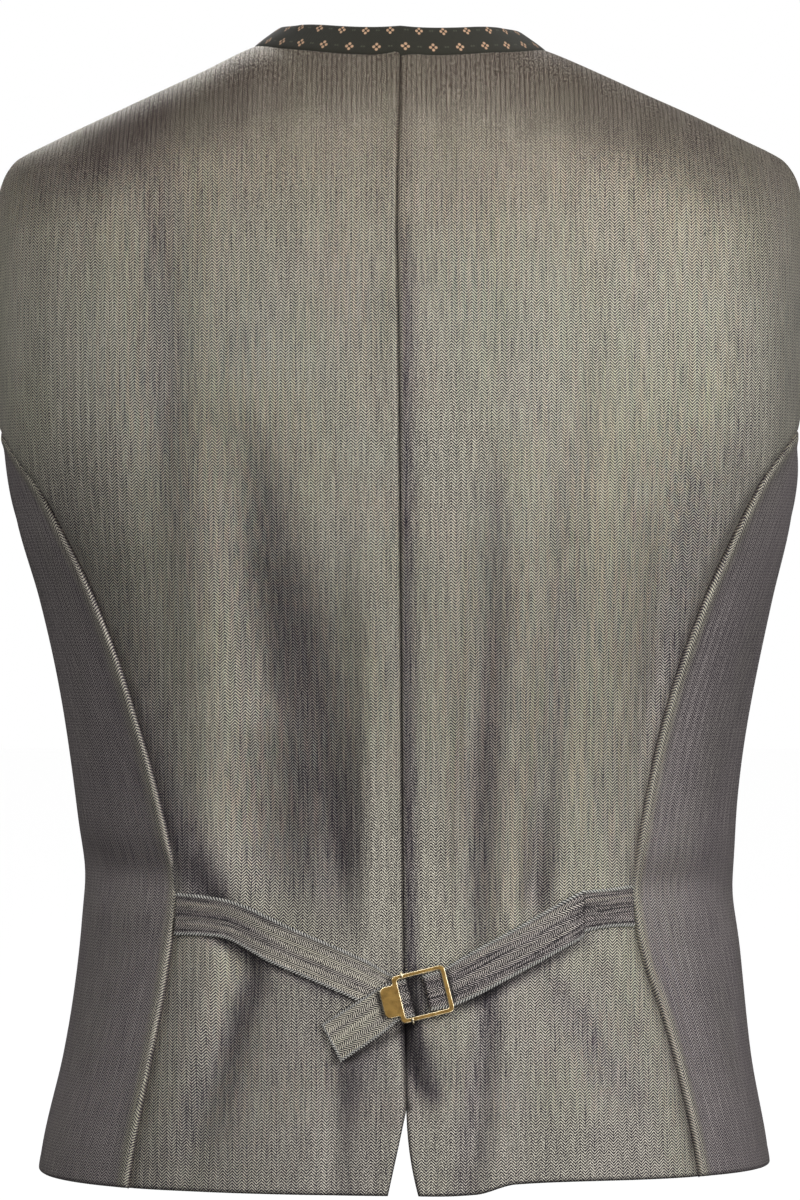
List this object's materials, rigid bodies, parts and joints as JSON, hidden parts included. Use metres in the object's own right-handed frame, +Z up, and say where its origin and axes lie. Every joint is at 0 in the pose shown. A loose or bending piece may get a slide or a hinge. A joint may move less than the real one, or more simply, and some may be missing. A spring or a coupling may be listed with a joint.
{
  "type": "waistcoat",
  "caption": "Worn waistcoat of two-tone herringbone cloth with a patterned collar band, a cinch strap with buckle across the back waist and a buttoned front.",
  "frame": {"origin": "middle between the inner ends of the two shoulder seams, at the base of the neck", "axes": "+Z up along the body, +X to the wearer's left, +Y out of the wearer's back"},
  "size_m": [0.4158, 0.2576, 0.6008],
  "materials": {
    "herringbone": "matt two-tone herringbone cloth",
    "printed_twill": "matt dark twill with small four-dot flowers",
    "antique_brass": "worn, darkened brass"
  },
  "bodies": {
    "root": {"back_left": "herringbone", "back_right": "herringbone", "side_left": "herringbone", "side_right": "herringbone", "front_left": "printed_twill", "front_right": "printed_twill", "collar": "printed_twill", "strap_left": "herringbone", "strap_right": "herringbone", "buckle_frame": "antique_brass", "buckle_bar": "antique_brass", "button_1": "antique_brass", "button_2": "antique_brass", "button_3": "antique_brass", "button_4": "antique_brass", "button_5": "antique_brass", "button_6": "antique_brass", "button_7": "antique_brass"}
  },
  "joints": []
}
